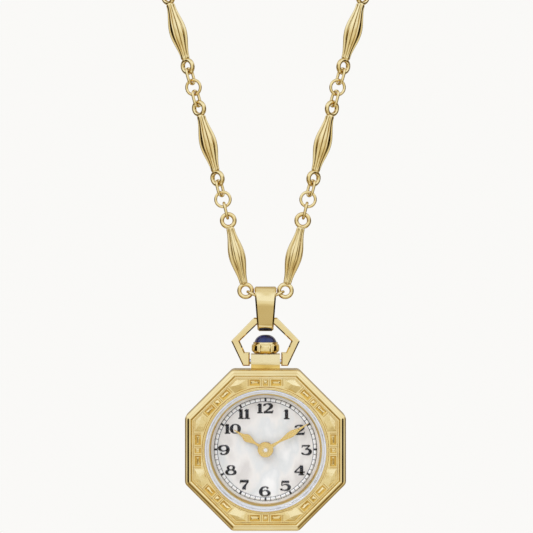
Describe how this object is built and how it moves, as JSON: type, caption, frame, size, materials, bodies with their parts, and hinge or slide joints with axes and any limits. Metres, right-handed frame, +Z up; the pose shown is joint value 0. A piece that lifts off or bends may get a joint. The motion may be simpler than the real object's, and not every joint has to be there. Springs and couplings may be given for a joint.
{
  "type": "pendant watch",
  "caption": "Octagonal pendant watch with faceted bezel, blue cabochon crown, bow and bail, hung in a necklace loop of fluted bars and rings.",
  "frame": {"origin": "inside top of the chain loop, under the clasp, where a neck or hook holds it", "axes": "+Z up along the hanging chain, -Y the way the dial faces, +X to the right as the dial is read"},
  "size_m": [0.0348, 0.0074, 0.1051],
  "materials": {
    "bar_gold": "polished gold plate",
    "bezel_gold": "polished gold plate, facets bright",
    "blue_stone": "deep blue, polished dome",
    "board_green": "green lacquer",
    "bow_gold": "polished gold plate",
    "case_gold": "polished gold plate",
    "cell_steel": "stainless steel can",
    "coil_copper": "enamelled copper wire",
    "crown_gold": "polished gold plate",
    "crystal_glass": "clear",
    "dial_pearl": "mother-of-pearl sheen",
    "flange_silver": "satin silver",
    "gear_brass": "machined brass",
    "gear_plastic": "ivory",
    "hand_gold": "polished gold tone",
    "holder_plastic": "off-white",
    "magnet": "dark sintered magnet",
    "pin_silver": "polished silver tone",
    "plate_nickel": "nickel-plated",
    "ring_gold": "polished gold plate",
    "seal_plastic": "translucent white",
    "seal_rubber": "black",
    "stator_iron": "soft iron sheet",
    "steel": "turned steel"
  },
  "bodies": {
    "chain_top": {"chain_bar_4_left": "bar_gold", "chain_bar_4_right": "bar_gold", "arch_small_rings": "ring_gold", "round_rings_3": "ring_gold", "clasp_end_ring": "ring_gold", "clasp_body": "ring_gold", "clasp_pin": "steel", "clasp_spring": "steel"},
    "clasp_lever": {"clasp_gate": "ring_gold"},
    "bars_3": {"chain_bar_3_left": "bar_gold", "chain_bar_3_right": "bar_gold"},
    "upper_rings_2": {"upper_small_rings_2": "ring_gold"},
    "middle_rings_2": {"round_rings_2": "ring_gold"},
    "lower_rings_2": {"lower_small_rings_2": "ring_gold"},
    "bars_2": {"chain_bar_2_left": "bar_gold", "chain_bar_2_right": "bar_gold"},
    "upper_rings_1": {"upper_small_rings_1": "ring_gold"},
    "middle_rings_1": {"round_rings_1": "ring_gold"},
    "lower_rings_1": {"lower_small_rings_1": "ring_gold"},
    "bars_1": {"chain_bar_1_left": "bar_gold", "chain_bar_1_right": "bar_gold"},
    "centre_links": {"middle_small_rings": "ring_gold"},
    "centre_ring": {"middle_round_ring": "ring_gold"},
    "bail_body": {"bail": "bow_gold"},
    "bow_body": {"bow": "bow_gold"},
    "head": {"neck": "bow_gold", "bow_pins": "steel", "crown_tube": "steel", "case_middle": "case_gold", "case_back": "case_gold", "case_back_gasket": "seal_rubber", "bezel": "bezel_gold", "crystal": "crystal_glass", "crystal_gasket": "seal_plastic", "flange_ring": "flange_silver", "dial": "dial_pearl", "main_plate": "plate_nickel", "train_bridge": "plate_nickel", "movement_holder": "holder_plastic", "battery": "cell_steel", "circuit_board": "board_green", "quartz_can": "pin_silver", "drive_coil": "coil_copper", "stator": "stator_iron"},
    "crown_slide": {"crown_seal": "seal_rubber", "setting_lever": "steel"},
    "crown_turn": {"crown": "crown_gold", "cabochon": "blue_stone", "winding_stem": "steel", "sliding_pinion": "steel"},
    "minute_arbor": {"minute_hand": "hand_gold", "hand_pin": "pin_silver", "cannon_pinion": "gear_brass", "centre_wheel": "gear_brass"},
    "hour_arbor": {"hour_hand": "hand_gold", "hour_wheel": "gear_brass"},
    "minute_wheel_body": {"minute_wheel": "gear_brass"},
    "setting_wheel_body": {"setting_wheel": "steel"},
    "reduction_arbor": {"reduction_wheel": "gear_plastic"},
    "rotor_body": {"rotor": "magnet"}
  },
  "joints": [
    {"name": "bars_3_swing", "type": "hinge", "parent": "chain_top", "child": "bars_3", "pos_m": [0, 0, -0.01442], "axis": [1, 0, 0], "range_deg": [-35, 35]},
    {"name": "upper_rings_2_swing", "type": "hinge", "parent": "bars_3", "child": "upper_rings_2", "pos_m": [0, 0, -0.02746], "axis": [-1, 0, 0], "range_deg": [-35, 35]},
    {"name": "middle_rings_2_swing", "type": "hinge", "parent": "upper_rings_2", "child": "middle_rings_2", "pos_m": [0, 0, -0.02876], "axis": [1, 0, 0], "range_deg": [-35, 35]},
    {"name": "lower_rings_2_swing", "type": "hinge", "parent": "middle_rings_2", "child": "lower_rings_2", "pos_m": [0, 0, -0.03094], "axis": [-1, 0, 0], "range_deg": [-35, 35]},
    {"name": "bars_2_swing", "type": "hinge", "parent": "lower_rings_2", "child": "bars_2", "pos_m": [0, 0, -0.03225], "axis": [1, 0, 0], "range_deg": [-35, 35]},
    {"name": "upper_rings_1_swing", "type": "hinge", "parent": "bars_2", "child": "upper_rings_1", "pos_m": [0, 0, -0.04538], "axis": [-1, 0, 0], "range_deg": [-35, 35]},
    {"name": "middle_rings_1_swing", "type": "hinge", "parent": "upper_rings_1", "child": "middle_rings_1", "pos_m": [0, 0, -0.04669], "axis": [1, 0, 0], "range_deg": [-35, 35]},
    {"name": "lower_rings_1_swing", "type": "hinge", "parent": "middle_rings_1", "child": "lower_rings_1", "pos_m": [0, 0, -0.04887], "axis": [-1, 0, 0], "range_deg": [-35, 35]},
    {"name": "bars_1_swing", "type": "hinge", "parent": "lower_rings_1", "child": "bars_1", "pos_m": [0, 0, -0.05019], "axis": [1, 0, 0], "range_deg": [-35, 35]},
    {"name": "centre_links_swing", "type": "hinge", "parent": "bars_1", "child": "centre_links", "pos_m": [0, 0, -0.06282], "axis": [-1, 0, 0], "range_deg": [-20, 20]},
    {"name": "centre_ring_swing", "type": "hinge", "parent": "centre_links", "child": "centre_ring", "pos_m": [0, 0, -0.06268], "axis": [1, 0, 0], "range_deg": [-15, 15]},
    {"name": "bail_swing", "type": "hinge", "parent": "centre_ring", "child": "bail_body", "pos_m": [0, 0, -0.06268], "axis": [-1, 0, 0], "range_deg": [-25, 25]},
    {"name": "bow_swing", "type": "hinge", "parent": "bail_body", "child": "bow_body", "pos_m": [0, 0, -0.06726], "axis": [1, 0, 0], "range_deg": [-40, 40]},
    {"name": "head_swing", "type": "hinge", "parent": "bow_body", "child": "head", "pos_m": [0, 0, -0.07371], "axis": [-1, 0, 0], "range_deg": [-60, 60]},
    {"name": "crown_pull", "type": "slide", "parent": "head", "child": "crown_slide", "axis": [0, 0, 1], "range_m": [0, 0.0006]},
    {"name": "crown_turn", "type": "hinge", "parent": "crown_slide", "child": "crown_turn", "pos_m": [0, 0, -0.07241], "axis": [0, 0, 1], "continuous": true},
    {"name": "minute_turn", "type": "hinge", "parent": "head", "child": "minute_arbor", "pos_m": [0, -0.00245, -0.08761], "axis": [0, 1, 0], "continuous": true},
    {"name": "hour_turn", "type": "hinge", "parent": "head", "child": "hour_arbor", "pos_m": [0, -0.002, -0.08761], "axis": [0, 1, 0], "continuous": true},
    {"name": "minute_wheel_turn", "type": "hinge", "parent": "head", "child": "minute_wheel_body", "pos_m": [0.00125, -0.00088, -0.08545], "axis": [0, 1, 0], "continuous": true},
    {"name": "setting_wheel_turn", "type": "hinge", "parent": "head", "child": "setting_wheel_body", "pos_m": [0.0006, -0.00088, -0.0826], "axis": [0, 1, 0], "continuous": true},
    {"name": "reduction_turn", "type": "hinge", "parent": "head", "child": "reduction_arbor", "pos_m": [0.00217, 0.0003, -0.0884], "axis": [0, 1, 0], "continuous": true},
    {"name": "rotor_turn", "type": "hinge", "parent": "head", "child": "rotor_body", "pos_m": [0.00424, 0.0005, -0.08804], "axis": [0, 1, 0], "continuous": true},
    {"name": "clasp_gate_swing", "type": "hinge", "parent": "chain_top", "child": "clasp_lever", "pos_m": [-0.00005, 0, 0.00105], "axis": [0, -1, 0], "range_deg": [0, 25], "stiffness_Nm_per_rad": 0.0005, "springref_deg": -5.73}
  ],
  "couplings": [
    {"joint": "hour_turn", "follows": "minute_turn", "ratio": 0.083333},
    {"joint": "minute_wheel_turn", "follows": "minute_turn", "ratio": -0.33333},
    {"joint": "setting_wheel_turn", "follows": "minute_turn", "ratio": 0.6},
    {"joint": "reduction_turn", "follows": "minute_turn", "ratio": -10},
    {"joint": "rotor_turn", "follows": "minute_turn", "ratio": 90}
  ]
}
